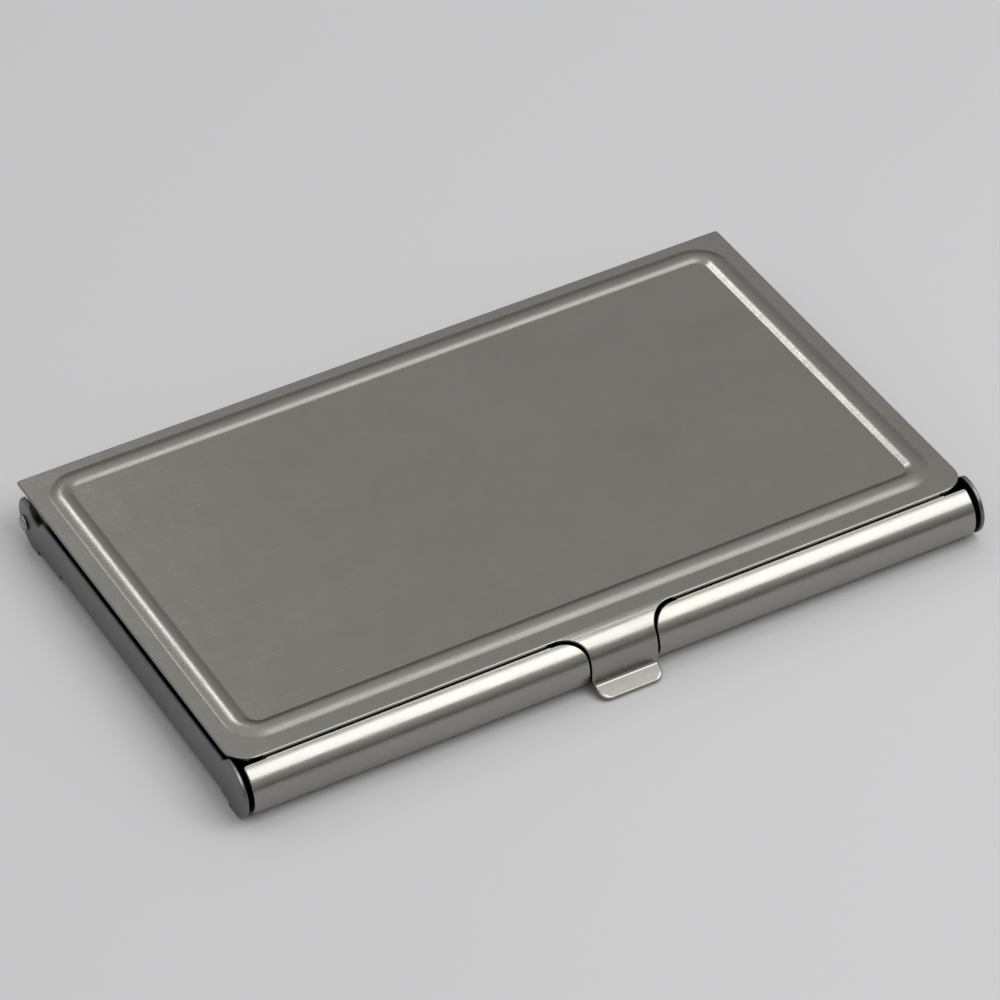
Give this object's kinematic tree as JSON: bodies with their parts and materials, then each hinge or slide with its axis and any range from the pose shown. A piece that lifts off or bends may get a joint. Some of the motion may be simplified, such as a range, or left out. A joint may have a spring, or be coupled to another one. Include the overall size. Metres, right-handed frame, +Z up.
{
  "type": "business card case",
  "caption": "Slim flat card case in satin sheet steel: a rolled tray with end plates and a hinged lid with a raised bead border and a front thumb tab.",
  "frame": {"origin": "centre of the bounding box, on the surface that the closed case lies on", "axes": "+X to the right along the long side seen from the thumb tab, -Y towards the thumb tab, +Y towards the hinge, +Z up through the lid"},
  "size_m": [0.095, 0.0614, 0.0073],
  "materials": {
    "lid_steel": "satin stainless sheet",
    "tray_steel": "satin stainless sheet, brighter on the roll",
    "plate_steel": "satin stainless sheet, a little darker",
    "bracket_steel": "plain mill finish",
    "rivet_steel": "polished rivet",
    "spring_steel": "blue-grey spring strip"
  },
  "bodies": {
    "case": {"tray": "tray_steel", "left_end_plate": "plate_steel", "right_end_plate": "plate_steel", "left_hinge_rivet": "rivet_steel", "right_hinge_rivet": "rivet_steel", "left_hinge_washer": "rivet_steel", "right_hinge_washer": "rivet_steel", "left_snap_spring": "spring_steel", "right_snap_spring": "spring_steel"},
    "lid_assembly": {"lid": "lid_steel", "left_lid_bracket": "bracket_steel", "right_lid_bracket": "bracket_steel"}
  },
  "joints": [
    {"name": "lid_hinge", "type": "hinge", "parent": "case", "child": "lid_assembly", "pos_m": [0, 0.02843, 0.00265], "axis": [-1, 0, 0], "range_deg": [0, 90]}
  ]
}
